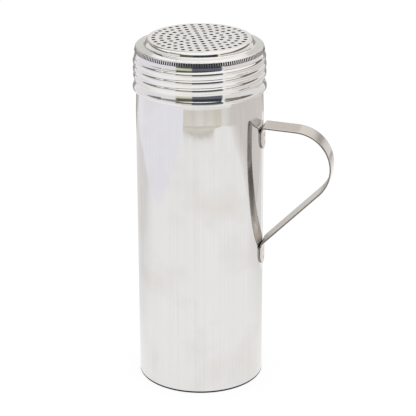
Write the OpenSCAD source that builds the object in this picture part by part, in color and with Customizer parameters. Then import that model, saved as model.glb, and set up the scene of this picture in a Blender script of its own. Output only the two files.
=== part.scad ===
// Handled spice shaker in sheet stainless steel: a welded tube with a pressed
// base pan, a strip handle spot welded to its side, and a one-piece screw lid
// that is pressed, pierced, knurled, thread rolled and curled at its edge.
// Millimetres, +Z up. The origin is the centre of the base, on the table, and
// the handle points along +X.

/* [Tube] */
// Outside diameter of the tube
tube_d = 69; // [62:0.5:80]
// Height of the rim above the table
rim_h = 189.6; // [180:0.2:230]
// Thickness of the tube's sheet
tube_sheet = 0.5; // [0.4:0.05:0.6]
// Height of the tube's lower edge above the table
tube_lift = 0.5; // [0.3:0.1:0.8]
// How far the mouth is drawn in from the tube, on the radius
neck_draw = 0.45; // [0.4:0.05:0.8]
// Height over which the tube narrows below the lid
neck_taper_h = 12; // [8:0.5:20]

/* [Base pan] */
// Thickness of the pan's sheet
pan_sheet = 0.6; // [0.4:0.05:0.8]
// Outer radius of the bend round the pan's foot
pan_bend = 1.2; // [0.9:0.1:2]
// Height of the flange that stands inside the tube, from the table
pan_flange_h = 6; // [4:0.5:10]
// Width of the flat ring that the shaker stands on
foot_w = 4; // [3:0.5:8]
// Height of the pan's raised middle above the table
pan_rise = 1.6; // [1:0.1:3]
// Width of the slope from the foot to the raised middle
pan_slope_w = 3; // [2:0.5:6]

/* [Rolled threads] */
// Pitch of the screw thread
thread_pitch = 4.3; // [4:0.1:4.6]
// Turns of the lid's ridge, with both fading ends
lid_turns = 3.1; // [2.4:0.1:3.2]
// Turns of the neck's ridge, with both fading ends
neck_turns = 2.4; // [1.6:0.1:2.8]
// Height of the lid's ridge above its groove
lid_ridge = 0.95; // [0.7:0.05:1.2]
// Height of the neck's ridge above its groove
neck_ridge = 0.75; // [0.5:0.05:0.9]
// Part of the pitch that a ridge takes up
ridge_share = 0.84; // [0.7:0.02:0.9]
// Direction in which the lid's ridge starts, in degrees round from the handle
thread_start = 71; // [0:1:359]

/* [Lid] */
// Thickness of the lid's sheet
lid_sheet = 0.45; // [0.35:0.05:0.55]
// Gap all round between the lid's thread and the neck's
lid_gap = 0.3; // [0.3:0.05:0.5]
// Gap between the rim and the underside of the lid
seat_gap = 0.3; // [0.2:0.05:0.5]
// Radius of the pierced disc, with the bend round it
disc_r = 29; // [27.5:0.1:30]
// Height of the disc above the slope of the ring round it
step_h = 2.98; // [2.7:0.02:3.4]
// Outer radius of the bend round the disc
step_bend = 1.9; // [1.4:0.1:2.2]
// Lean of the step from upright, in degrees
step_lean = 15; // [5:1:25]
// Radius of the hollow bend at the foot of the step
foot_bend = 1; // [0.6:0.1:1.4]
// Slope of the ring between the disc and the shoulder, in degrees
ring_slope = 10; // [6:1:14]
// Distance from the ring's outer edge in to the skirt
shoulder_in = 0.9; // [0.7:0.1:1.4]
// Outer radius of the bend at the shoulder
shoulder_bend = 0.6; // [0.5:0.05:1]
// Distance from the ring's outer edge down to the lid's lower edge
lid_drop = 23.55; // [23.2:0.05:26]
// Radius at which the skirt flares out
flare_r = 8; // [7:0.5:9]
// Radius at which the flare turns down again
turn_r = 2.9; // [2:0.1:3.5]
// How far the flare stands out from the skirt
flare_out = 1.2; // [1:0.05:1.4]
// Height of the upright lip between the flare and the curl
lip_h = 0.6; // [0.2:0.1:1]
// Outer radius of the curl round the lower edge
curl_r = 0.65; // [0.6:0.01:0.8]

/* [Knurl] */
// Number of grooves round the shoulder
knurl_count = 168; // [120:4:180]
// Height of the knurled band
knurl_h = 1.8; // [1.5:0.1:2.4]
// Depth of a groove, which is as wide as twice its depth
knurl_depth = 0.32; // [0.2:0.02:0.36]

/* [Piercing] */
// Diameter of a hole
hole_d = 1.75; // [1:0.05:2.4]
// Distance from one ring of holes to the next
hole_pitch = 4.11; // [3.6:0.01:4.2]
// Rings of holes round the middle one
hole_rings = 6; // [3:1:6]
// Direction of a spoke of holes, in degrees round from the handle
hole_turn = 50.7; // [0:0.1:60]

/* [Handle] */
// Width of the strip
strip_w = 13.5; // [10:0.5:16]
// Thickness of the strip
strip_t = 1; // [0.8:0.1:1.4]
// Height of the top of the handle, at the tube
handle_top = 147.6; // [142:0.2:150]
// Fall of the upper arm away from the tube, in degrees
arm_fall = 3.9; // [1:0.1:6]
// Distance from the tube out to the middle of the bow
bow_reach = 17.2; // [15:0.1:22]
// Outer radius of the bow
bow_r = 21; // [18:0.5:24]
// Slope of the lower arm, in degrees
lower_slope = 45; // [40:1:50]
// Height of the upper tab, down from the top of the handle
upper_tab_h = 13.6; // [12.6:0.1:18]
// Height of the lower tab, down from its bend
lower_tab_h = 11.8; // [11:0.1:16]
// Outer radius of the bend above the upper tab
upper_bend = 1.8; // [1.6:0.1:2.4]
// Outer radius of the bend above the lower tab
lower_bend = 3; // [2.4:0.1:4]

/* [Spot welds] */
// Diameter of a weld
weld_d = 3.6; // [2.5:0.1:4]
// Distance between the two welds of a tab
weld_pitch = 4.4; // [4.1:0.1:5]
// Gap between the upper weld and the place where the tab starts to flatten
weld_margin = 0.4; // [0.3:0.1:1]
// Depth of the dimple that the electrode leaves
weld_dimple = 0.15; // [0.05:0.05:0.3]

/* [Hidden] */

$fn = 96;
tube_r = tube_d / 2;
tube_ri = tube_r - tube_sheet;

// The neck's ridge is as wide as the drawn mouth, and the lid clears it.
neck_crest_r = tube_r - neck_draw;
neck_r = neck_crest_r - neck_ridge;
skirt_r = neck_crest_r + lid_gap + lid_sheet;

// The lid hangs from its seat on the rim.
ring_r = skirt_r - shoulder_in;
ring_z = rim_h + seat_gap + lid_sheet / cos(ring_slope) - (ring_r - neck_r) * tan(ring_slope);
disc_z = ring_z + (ring_r - disc_r) * tan(ring_slope) + step_h;
shoulder = [ring_r, ring_z] - shoulder_bend * [sin(ring_slope), cos(ring_slope)];

// The step runs straight from the bend round the disc to the hollow bend at its foot.
step = [disc_r, disc_z] - step_bend * [1, 1];
step_end = step + step_bend * [cos(step_lean), sin(step_lean)];
foot_in = step_end + foot_bend * [cos(step_lean), sin(step_lean)];
foot_over = foot_in[1] - ring_z - foot_bend / cos(ring_slope) - (ring_r - foot_in[0]) * tan(ring_slope);
foot = foot_in + foot_over / (1 - tan(step_lean) * tan(ring_slope)) * [tan(step_lean), -1];

// The knurled band leans out from the shoulder, and a hollow lies under it.
knurl_lean = 15;
knurl_bar_r = 0.6;
hollow_in = 0.3;
hollow_drop = 0.4;
hollow_h = 1.86;
knurl_top = shoulder + shoulder_bend * [cos(knurl_lean), sin(knurl_lean)];
knurl_low = knurl_top + knurl_h * [tan(knurl_lean), -1];
hollow = [skirt_r - hollow_in, knurl_low[1] - hollow_drop];
skirt_top_z = hollow[1] - hollow_h;

// The flare turns down into an upright lip, and the curl rolls the edge in under it.
flare_angle = acos(1 - flare_out / (flare_r + turn_r));
curl_z = ring_z - lid_drop + curl_r;
turn_z = curl_z + lip_h;
flare_z = turn_z + (flare_r + turn_r) * sin(flare_angle);
lip_r = skirt_r + flare_out;
curl_angle = 210;
curl_steps = 12;

// A ridge narrows and fades out over part of a turn at its ends, and its foot is sunk in
// the wall. The lid's ridge starts in the hollow under the knurled band.
thread_steps = 36;
fade_turns = 0.3;
fade_width = 0.3;
ridge_sink = 0.12;
ridge_drop = 0.25;
lid_ridge_top = skirt_top_z - ridge_drop;
neck_ridge_late = (lid_turns - neck_turns) / 2;

// The tube narrows up to the lid's lower edge, and steps in to the neck above it.
taper_top_z = curl_z;
neck_step_h = 1.6;

// The tabs are made of flat facets, and this gap keeps those off the tube.
facet_gap = 0.02;
tab_r = tube_r + facet_gap;

// The handle's bends, each at its middle: above the upper tab, the bow, above the lower tab.
bow_steps = 30;
bend_1 = [tab_r + upper_bend, handle_top - upper_bend];
bow_x = tube_r + bow_reach;
bow = [bow_x, bend_1[1] - ((bow_x - bend_1[0]) * sin(arm_fall) + bow_r - upper_bend) / cos(arm_fall)];
bend_2_x = tab_r + lower_bend;
bend_2 = [bend_2_x, bow[1] + ((bend_2_x - bow_x) * sin(lower_slope) - bow_r + strip_t - lower_bend)
    / cos(lower_slope)];
upper_tab_low = handle_top - upper_tab_h;
lower_tab_low = bend_2[1] - lower_tab_h;

// Height over which a tab, curved to the tube, goes over into the flat strip.
flatten_h = 1.8;
flatten_steps = 3;
strip_facets = 6;
end_ease = 0.1;
upper_flat_z = bend_1[1] - flatten_h;
lower_flat_z = bend_2[1] - flatten_h;

// What is cut away reaches this far past the sheet on both sides.
past = 4;
hole_facets = 24;

// Points along a round stretch, from one direction to another.
function bend(x, y, r, from, to, steps = 6) =
    [for (i = [0:steps]) let (a = from + (to - from) * i / steps) [x + r * cos(a), y + r * sin(a)]];

function reverse(list) = [for (i = [len(list) - 1:-1:0]) list[i]];

// The same points without the first, where a bend goes on from another.
function after(list) = [for (i = [1:len(list) - 1]) list[i]];

// How far a ridge has risen, from 0 at its ends to 1.
function risen(turn, turns) =
    let (t = min(turn, turns - turn) / fade_turns) t >= 1 ? 1 : (1 - cos(180 * t)) / 2;

// A helical ridge, wound down from its top end round a wall of radius wall_r.
module ridge(wall_r, height, top_z, turns, start) {
    steps = round(turns * thread_steps);
    low_r = wall_r - ridge_sink;
    rounds = [for (i = [0:steps]) let (turn = turns * i / steps, a = start - 360 * turn)
        let (z = top_z - turn * thread_pitch, rise = risen(turn, turns))
        let (h = (height + ridge_sink) * rise)
        let (half_w = thread_pitch * ridge_share / 2 * (fade_width + (1 - fade_width) * rise))
        [for (p = concat([[-1, -ridge_sink]],
                [for (s = [-1:0.5:1]) [s, h * (1 + cos(180 * s)) / 2]],
                [[1, -ridge_sink]]))
            [(low_r + p[1]) * cos(a), (low_r + p[1]) * sin(a), z + p[0] * half_w]]];
    m = len(rounds[0]);
    faces = [for (i = [0:steps - 1], j = [0:m - 1])
        let (a = i * m + j, b = i * m + (j + 1) % m)
        each [[a, a + m, b], [b, a + m, b + m]]];
    polyhedron(
        [for (r = rounds) each r],
        concat(faces, [[for (j = [0:m - 1]) j]], [[for (j = [m - 1:-1:0]) steps * m + j]])
    );
}

// The same ridge outside and inside a sheet, so that the wall keeps its thickness.
module rolled(wall_r, sheet, height, top_z, turns, start) {
    difference() {
        union() {
            children();
            ridge(wall_r, height, top_z, turns, start);
        }
        ridge(wall_r - sheet, height, top_z, turns, start);
    }
}

// ---- Tube and base ----

module tube_section() {
    outside = [
        [tube_r, tube_lift],
        [tube_r, taper_top_z - neck_taper_h],
        [neck_crest_r, taper_top_z],
        [neck_r, taper_top_z + neck_step_h],
        [neck_r, rim_h]
    ];
    polygon(concat(outside, [for (p = reverse(outside)) p - [tube_sheet, 0]]));
}

module body_tube() {
    color([0.80, 0.79, 0.78]) difference() {
        rolled(neck_r, tube_sheet, neck_ridge, lid_ridge_top - neck_ridge_late * thread_pitch,
            neck_turns, thread_start - 360 * neck_ridge_late)
            rotate_extrude() tube_section();
        weld_bores(upper_flat_z);
        weld_bores(lower_flat_z);
    }
}

// The pan's face at a depth of inset into the sheet, from the middle out and up.
function pan_face(inset) =
    let (in_x = tube_ri - pan_bend - foot_w, shift = inset * tan(atan(pan_rise / pan_slope_w) / 2))
    concat(
        [[0, pan_rise + inset], [in_x - pan_slope_w + shift, pan_rise + inset], [in_x + shift, inset]],
        bend(tube_ri - pan_bend, pan_bend, pan_bend - inset, -90, 0),
        [[tube_ri - inset, pan_flange_h]]
    );

module base_pan() {
    color([0.74, 0.73, 0.72])
        rotate_extrude() polygon(concat(pan_face(0), reverse(pan_face(pan_sheet))));
}

// ---- Handle ----

// The side view of a tab's face, from the tab's end to its bend, at a distance out from the
// tube. The third number of a point says how far the strip is curved to the tube there.
function tab_face(out, low_z, flat_z) = concat(
    [[tab_r + out, low_z, 1]],
    [for (i = [0:flatten_steps - 1])
        [tab_r + out, flat_z + flatten_h * i / flatten_steps, 1 - i / flatten_steps]]
);

// The side view of the whole strip at a depth of inset: up the upper tab, round the upper
// bend, out along the arm, round the bow, back to the tube and down the lower tab. The face
// that lies on the tube at the top is the outer one at the bottom.
function strip_face(inset) = concat(
    tab_face(inset, upper_tab_low, upper_flat_z),
    [for (p = concat(
        bend(bend_1[0], bend_1[1], upper_bend - inset, 180, 90 - arm_fall),
        bend(bow[0], bow[1], bow_r - inset, 90 - arm_fall, lower_slope - 90, bow_steps),
        bend(bend_2[0], bend_2[1], lower_bend - strip_t + inset, 90 + lower_slope, 180)
    )) [p[0], p[1], 0]],
    reverse(tab_face(strip_t - inset, lower_tab_low, lower_flat_z))
);

// A point of the strip at a distance of y from its middle line.
function across(p, y) = [p[0] - p[2] * (p[0] - sqrt(p[0] ^ 2 - y ^ 2)), y, p[1]];

module strip() {
    inner = strip_face(0);
    outer = strip_face(strip_t);
    ys = [for (i = [0:strip_facets]) strip_w * (i / strip_facets - 1 / 2)];
    n = len(inner);
    m = 2 * len(ys);
    polyhedron(
        [for (i = [0:n - 1]) each concat(
            [for (y = ys) across(inner[i], y)], [for (y = reverse(ys)) across(outer[i], y)])],
        concat(
            [for (i = [0:n - 2], j = [0:m - 1]) let (a = i * m + j, b = i * m + (j + 1) % m)
                each [[a, b, a + m], [b, b + m, a + m]]],
            [for (j = [0:strip_facets - 1]) [m - 1 - j, m - 2 - j, j + 1, j]],
            [for (j = [0:strip_facets - 1])
                [for (k = [j, j + 1, m - 2 - j, m - 1 - j]) (n - 1) * m + k]]
        )
    );
}

// The corners that are cut from the end of a tab, so that it is round.
module end_corners(low_z) {
    end_r = strip_w / 2 + end_ease;
    translate([tube_r - past, 0, low_z + end_r]) rotate([90, 0, 90]) linear_extrude(2 * past)
        difference() {
            translate([-strip_w, -strip_w]) square([2 * strip_w, strip_w]);
            circle(end_r);
        }
}

module handle() {
    color([0.72, 0.69, 0.66]) difference() {
        strip();
        end_corners(upper_tab_low);
        end_corners(lower_tab_low);
        weld_bores(upper_flat_z);
        weld_bores(lower_flat_z);
    }
}

// ---- Spot welds ----

module weld_bores(flat_z) {
    for (down = [0, weld_pitch])
        translate([tube_r - past, 0, flat_z - weld_margin - weld_d / 2 - down])
            rotate([0, 90, 0]) cylinder(d = weld_d, h = 2 * past);
}

// Two round nuggets through the tab and the tube, dished under the electrode.
module spot_welds(flat_z) {
    color([0.66, 0.64, 0.62]) intersection() {
        weld_bores(flat_z);
        difference() {
            cylinder(r = tube_r + strip_t - weld_dimple, h = rim_h);
            cylinder(r = tube_ri, h = rim_h);
        }
    }
}

module upper_spot_welds() {
    spot_welds(upper_flat_z);
}

module lower_spot_welds() {
    spot_welds(lower_flat_z);
}

// ---- Lid ----

// The lid's face at a depth of inset into the sheet, from the middle out, down and round the
// curl. The knurled band is backed by the sheet that its grooves push in.
function lid_face(inset) = concat(
    [[0, disc_z - inset]],
    bend(step[0], step[1], step_bend - inset, 90, step_lean),
    bend(foot[0], foot[1], foot_bend + inset, 180 + step_lean, 270 - ring_slope),
    bend(shoulder[0], shoulder[1], shoulder_bend - inset, 90 - ring_slope, knurl_lean),
    inset == 0 ? [knurl_low] : [],
    [hollow - [inset, 0], [skirt_r - inset, skirt_top_z]],
    bend(skirt_r + flare_r, flare_z, flare_r + inset, 180, 180 + flare_angle),
    after(bend(lip_r - turn_r, turn_z, turn_r - inset, flare_angle, 0)),
    bend(lip_r - curl_r, curl_z, curl_r - inset, 0, -curl_angle, curl_steps)
);

// Rings of six holes, twelve, eighteen and so on, round one in the middle.
module piercing() {
    translate([0, 0, disc_z - 2 * lid_sheet]) {
        cylinder(d = hole_d, h = 3 * lid_sheet, $fn = hole_facets);
        for (ring = [1:hole_rings], i = [0:6 * ring - 1])
            rotate([0, 0, hole_turn + 60 * i / ring]) translate([ring * hole_pitch, 0, 0])
                cylinder(d = hole_d, h = 3 * lid_sheet, $fn = hole_facets);
    }
}

// A groove is cut by one edge of a square bar that lies along the band.
module knurling() {
    for (i = [1:knurl_count])
        rotate([0, 0, 360 * i / knurl_count])
            translate([(knurl_top[0] + knurl_low[0]) / 2, 0, (knurl_top[1] + knurl_low[1]) / 2])
                rotate([0, -knurl_lean, 0]) translate([knurl_bar_r - knurl_depth, 0, 0])
                    cylinder(r = knurl_bar_r, h = knurl_h + 1, center = true, $fn = 4);
}

module lid() {
    color([0.84, 0.83, 0.82]) difference() {
        rolled(skirt_r, lid_sheet, lid_ridge, lid_ridge_top, lid_turns, thread_start)
            rotate_extrude() polygon(concat(lid_face(0), reverse(lid_face(lid_sheet))));
        piercing();
        knurling();
    }
}

body_tube();
base_pan();
handle();
upper_spot_welds();
lower_spot_welds();
lid();
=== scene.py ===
# A handled spice shaker in stainless steel: a polished tube with a pressed base pan, a strip
# handle spot welded to its side, and a one-piece screw lid that is pierced, knurled, rolled
# and curled. Its lengths are in millimetres and become metres where a mesh is made. The camera
# and the room are in metres.
import math

import bmesh
import bpy
import numpy as np
from mathutils import Matrix


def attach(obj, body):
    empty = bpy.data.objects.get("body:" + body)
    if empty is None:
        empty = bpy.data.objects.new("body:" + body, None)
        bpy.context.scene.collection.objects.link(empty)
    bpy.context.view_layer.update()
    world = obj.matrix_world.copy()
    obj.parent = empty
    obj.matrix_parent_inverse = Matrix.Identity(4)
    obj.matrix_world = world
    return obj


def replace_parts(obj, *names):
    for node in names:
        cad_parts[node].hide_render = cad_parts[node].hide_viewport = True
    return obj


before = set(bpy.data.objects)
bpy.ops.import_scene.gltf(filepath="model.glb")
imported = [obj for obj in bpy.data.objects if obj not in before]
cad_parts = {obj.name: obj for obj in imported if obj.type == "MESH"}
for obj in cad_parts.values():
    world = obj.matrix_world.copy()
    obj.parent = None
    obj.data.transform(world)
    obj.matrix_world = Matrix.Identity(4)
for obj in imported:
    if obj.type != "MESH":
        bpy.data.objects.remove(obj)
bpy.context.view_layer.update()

MM = 0.001

# ---- Camera ----
# A long lens, a little less than a metre away, that looks down on the shaker from the front
# with the handle at its right.
CAMERA_AZIMUTH = -78.9
CAMERA_REACH = 0.9124
CAMERA_HEIGHT = 0.4568
CAMERA_DOWN = 21.5454
CAMERA_TURN = 10.8345
CAMERA_ROLL = -0.16844
SENSOR_MM = 36
LENS_MM = 154.014
NEAREST_SIGHT = 0.05  # nothing nearer to the lens is drawn


def added(name, data):
    """A new object in the scene that holds this camera or mesh."""
    thing = bpy.data.objects.new(name, data)
    bpy.context.scene.collection.objects.link(thing)
    return thing


azimuth = math.radians(CAMERA_AZIMUTH)
camera = added("camera", bpy.data.cameras.new("camera"))
camera.data.sensor_width = SENSOR_MM
camera.data.lens = LENS_MM
camera.data.clip_start = NEAREST_SIGHT
camera.matrix_world = (
    Matrix.Translation((CAMERA_REACH * math.cos(azimuth), CAMERA_REACH * math.sin(azimuth), CAMERA_HEIGHT))
    @ Matrix.Rotation(math.radians(CAMERA_TURN), 4, "Z")
    @ Matrix.Rotation(math.radians(90 - CAMERA_DOWN), 4, "X")
    @ Matrix.Rotation(math.radians(CAMERA_ROLL), 4, "Z"))
bpy.context.scene.camera = camera

# ---- Body tube ----
# Thin stainless sheet, drawn to a tube and polished. Its mouth is drawn in under the lid,
# with a thread rolled into it, and its lower edge is turned in over the base pan.
TUBE_R = 34.5
TUBE_SHEET = 0.5
TUBE_COLUMNS = 224
TUBE_ROW_H = 40
TUBE_FOOT_Z = 0.05
TUBE_FOOT_BEND = 0.55
TUBE_FOOT_TURN = -75  # direction in which the bend ends, from 0 at the wall
FOOT_ROWS_UP = (0.7, 0.45)  # the wall's last rows, up from the bend's middle
# Painted shade: a dark band this high at the foot for the shadow where the tube stands, and this share of
# it over the whole inside.
FOOT_SHADOW_H = 1.05
INSIDE_SHADE = 0.6
TAPER_Z = 155.3
TAPER_EASE_H = 0.8
TAPER_EASE_IN = (0.05, 0.016)  # how far in the wall still is, where it runs into the side
TAPER_TOP_Z = 167.3
TAPER_LEAD_H = 3
TAPER_LEAD_OUT = 0.1
NECK_CREST_R = 34.05
NECK_R = 33.3
NECK_STEP = 1.7
NECK_ROW_H = 0.15
RIM_Z = 189.6

THREAD_PITCH = 4.3
THREAD_START = 71  # where the lid's ridge starts, in degrees round from the handle
THREAD_FADE = 0.3  # the part of a turn in which a ridge fades at its ends
THREAD_FULLNESS = 0.03  # how much a ridge is filled out on both sides of its crest
THREAD_BREADTH = 0.35  # how much its crest is broadened
NECK_RIDGE = 0.75
NECK_RIDGE_TOP = 183.995
NECK_TURNS = 2.4
NECK_LATE = 126  # how far on from the lid's ridge the neck's starts, in degrees


def arc(x, z, r, start, end, steps):
    """Points (radius, height) round a bend in a section, from one direction to another."""
    angles = np.radians(np.linspace(start, end, steps + 1))
    return [(x + r * math.cos(a), z + r * math.sin(a)) for a in angles]


def eased(start, end, steps):
    """Points that leave one point and reach the other upright, as a drawn step does."""
    shares = np.linspace(0, 1, steps + 1)
    return [(start[0] + (end[0] - start[0]) * t * t * (3 - 2 * t), start[1] + (end[1] - start[1]) * t)
            for t in shares]


def upright(r, top, low, pitch):
    """Points down a straight wall, about one pitch apart."""
    return [(r, z) for z in np.linspace(top, low, max(2, round((top - low) / pitch) + 1))]


def turned(name, rows, closed=True):
    """A mesh turned round Z from rows of (radius, height, columns). Where two rows differ in their
    columns, one has a whole number of times as many as the other, and triangles join them."""
    points, faces, rings = [], [], []
    for r, z, columns in rows:
        rings.append(len(points) + np.arange(columns))
        turns = 2 * math.pi * np.arange(columns) / columns
        points += [(r * math.cos(a) * MM, r * math.sin(a) * MM, z * MM) for a in turns]
    pairs = list(zip(rings, rings[1:])) + ([(rings[-1], rings[0])] if closed else [])
    for a, b in pairs:
        wide, narrow = max(len(a), len(b)), min(len(a), len(b))
        step = wide // narrow
        for i in range(narrow):
            j = (i + 1) % narrow
            if step == 1:
                faces.append((a[i], b[i], b[j], a[j]))
                continue
            fine, coarse = (a, b) if len(a) == wide else (b, a)
            for k in range(step):
                here, there = fine[i * step + k], fine[(i * step + k + 1) % wide]
                corner = coarse[i] if 2 * k < step else coarse[j]
                faces.append((here, corner, there) if fine is a else (here, there, corner))
            middle = fine[i * step + (step + 1) // 2]
            if narrow > 1:
                faces.append((middle, coarse[i], coarse[j]) if fine is a
                             else (middle, coarse[j], coarse[i]))
    mesh = bpy.data.meshes.new(name)
    mesh.from_pydata(points, [], [tuple(int(v) for v in face) for face in faces])
    return added(name, mesh)


def smooth(piece):
    """Smooth shading all over a piece."""
    piece.data.polygons.foreach_set("use_smooth", [True] * len(piece.data.polygons))
    piece.data.update()


def mark(mesh, name, values):
    """Stores a value for each point of a mesh, for the trees and the materials to read."""
    mesh.attributes.new(name, "FLOAT", "POINT").data.foreach_set("value", values)


def mark_rows(piece, name, rows, values):
    """Gives each point of a turned piece the value of its row."""
    mark(piece.data, name, [value for (r, z, columns), value in zip(rows, values) for _ in range(columns)])


def new_tree(name, inputs):
    """An empty Geometry Nodes tree with a mesh in, a mesh out and named number inputs."""
    tree = bpy.data.node_groups.new(name, "GeometryNodeTree")
    tree.interface.new_socket("Geometry", in_out="INPUT", socket_type="NodeSocketGeometry")
    for label in inputs:
        tree.interface.new_socket(label, in_out="INPUT", socket_type="NodeSocketFloat")
    tree.interface.new_socket("Geometry", in_out="OUTPUT", socket_type="NodeSocketGeometry")
    return tree


def put(tree, kind, inputs=None, **settings):
    """A node with its settings, and with each input set to a value or linked to a socket."""
    node = tree.nodes.new(kind)
    for key, value in settings.items():
        setattr(node, key, value)
    for key, value in (inputs or {}).items():
        if isinstance(value, bpy.types.NodeSocket):
            tree.links.new(value, node.inputs[key])
        else:
            node.inputs[key].default_value = value
    return node


def maths(tree, operation, *values):
    """The result of a Math node on numbers or sockets."""
    return put(tree, "ShaderNodeMath", dict(enumerate(values)), operation=operation).outputs[0]


def worked(piece, tree, values):
    """Runs a tree on a piece with these inputs, and keeps the plain mesh that comes out."""
    modifier = piece.modifiers.new(tree.name, "NODES")
    modifier.node_group = tree
    for item in tree.interface.items_tree:
        if item.item_type == "SOCKET" and item.in_out == "INPUT" and item.name in values:
            modifier[item.identifier] = values[item.name]
    depsgraph = bpy.context.evaluated_depsgraph_get()
    mesh = bpy.data.meshes.new_from_object(piece.evaluated_get(depsgraph))
    piece.modifiers.remove(modifier)
    piece.data = mesh
    smooth(piece)


def off_axis(tree, x, y):
    """The distance of a place from the shaker's axis."""
    return maths(tree, "SQRT", maths(tree, "MULTIPLY_ADD", x, x, maths(tree, "MULTIPLY", y, y)))


def placed(tree):
    """The position of each point: its x, y, z, distance from the axis, and turns round it."""
    position = put(tree, "GeometryNodeInputPosition").outputs[0]
    x, y, z = put(tree, "ShaderNodeSeparateXYZ", {0: position}).outputs
    r = off_axis(tree, x, y)
    turn = maths(tree, "DIVIDE", maths(tree, "ARCTAN2", y, x), 2 * math.pi)
    return x, y, z, r, turn


def outwards(tree, geometry, x, y, r, distance):
    """Moves each point away from the axis."""
    share = maths(tree, "DIVIDE", distance, r)
    offset = put(tree, "ShaderNodeCombineXYZ", {
        "X": maths(tree, "MULTIPLY", x, share), "Y": maths(tree, "MULTIPLY", y, share)})
    return put(tree, "GeometryNodeSetPosition",
               {"Geometry": geometry, "Offset": offset.outputs[0]}).outputs[0]


def ramp(tree, value, low, high):
    """0 below low, 1 above high, and a smooth rise between the two."""
    return put(tree, "ShaderNodeMapRange",
               {"Value": value, "From Min": low, "From Max": high},
               interpolation_type="SMOOTHSTEP").outputs[0]


def rolled_thread(tree, geometry, sockets):
    """Pushes a wall out in a right-hand helical ridge that fades at both ends."""
    x, y, z, r, turn = placed(tree)
    start = maths(tree, "SUBTRACT", sockets["Start Turn"], turn)
    share = maths(tree, "FRACT", start)
    down = maths(tree, "DIVIDE", maths(tree, "SUBTRACT", sockets["Ridge Top"], z), sockets["Pitch"])
    crest = maths(tree, "ADD", share, maths(tree, "ROUND", maths(tree, "SUBTRACT", down, share)))
    left = maths(tree, "SUBTRACT", sockets["Turns"], crest)
    rise = maths(tree, "MULTIPLY", ramp(tree, crest, 0, THREAD_FADE), ramp(tree, left, 0, THREAD_FADE))
    even = maths(tree, "MULTIPLY", maths(tree, "SUBTRACT", down, crest), 2 * math.pi)
    phase = maths(tree, "MULTIPLY_ADD", maths(tree, "SINE", even), -THREAD_BREADTH, even)
    wave = maths(tree, "MULTIPLY_ADD", maths(tree, "COSINE", phase), 0.5, 0.5)
    fuller = maths(tree, "SUBTRACT", 1, maths(tree, "COSINE", maths(tree, "MULTIPLY", phase, 2)))
    height = maths(tree, "MULTIPLY", maths(tree, "MULTIPLY_ADD", fuller, THREAD_FULLNESS, wave),
                   maths(tree, "MULTIPLY", rise, sockets["Ridge"]))
    return outwards(tree, geometry, x, y, r, height)


THREAD_INPUTS = ["Start Turn", "Ridge Top", "Pitch", "Turns", "Ridge"]
thread_tree = new_tree("rolled_neck", THREAD_INPUTS)
given = put(thread_tree, "NodeGroupInput").outputs
threaded = rolled_thread(thread_tree, given["Geometry"], given)


def ended(tree, geometry, material):
    """Makes a tree's instances real, gives the result its material and ends the tree."""
    real = put(tree, "GeometryNodeRealizeInstances", {"Geometry": geometry}).outputs[0]
    painted = put(tree, "GeometryNodeSetMaterial", {"Geometry": real, "Material": material}).outputs[0]
    put(tree, "NodeGroupOutput", {"Geometry": painted})


def noise(tree, place, scale, detail, **inputs):
    """Cloudy noise, from 0 to 1, that changes scale times for each unit of place."""
    return put(tree, "ShaderNodeTexNoise",
               {"Vector": place, "Scale": scale, "Detail": detail, **inputs}).outputs[0]


def weighed(tree, first, second, share):
    """The sum of two values: this share of the first, and the rest of the second."""
    return maths(tree, "MULTIPLY_ADD", first, share, maths(tree, "MULTIPLY", second, 1 - share))


def levelled(tree, value, low, high, to_low, to_high):
    """A value between low and high, carried to between to_low and to_high and held there."""
    return put(tree, "ShaderNodeMapRange", {
        "Value": value, "From Min": low, "From Max": high,
        "To Min": to_low, "To Max": to_high}).outputs[0]


def mixed(tree, share, first, second):
    """The colour that is this share of the way from the first to the second."""
    return put(tree, "ShaderNodeMix", {0: share, 6: first, 7: second}, data_type="RGBA").outputs[2]


# Painted shade: a near-black colour, and the roughness it adds, that a piece's mark mixes in where shade
# falls on it.
PAINTED_SHADE_COLOUR = (0.008, 0.014, 0.017)
PAINTED_SHADE_ROUGHNESS = 0.45
STAIN = (0.86, 0.80, 0.74)
STAINS_PER_M = 30
STAIN_RANGE = (0.5, 0.75)  # where in the noise's range the stains rise, as the ranges below
SMEARS_PER_M = 38
DULL_RANGE = (0.3, 0.7)
LINE_RANGE = (0.36, 0.64)
CLEAR_RANGE = (0.38, 0.62)
CLEAR_LEAST = 0.2  # what is left of the lines where a smear covers them
FINE_SHARE = 0.6  # the share of the fine lines, beside the wider bands
BAND_SCALE = (0.16, 0.16, 0.3)
LINE_DEPTH = 0.00002
WAVE_DEPTH = 0.0004


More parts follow.
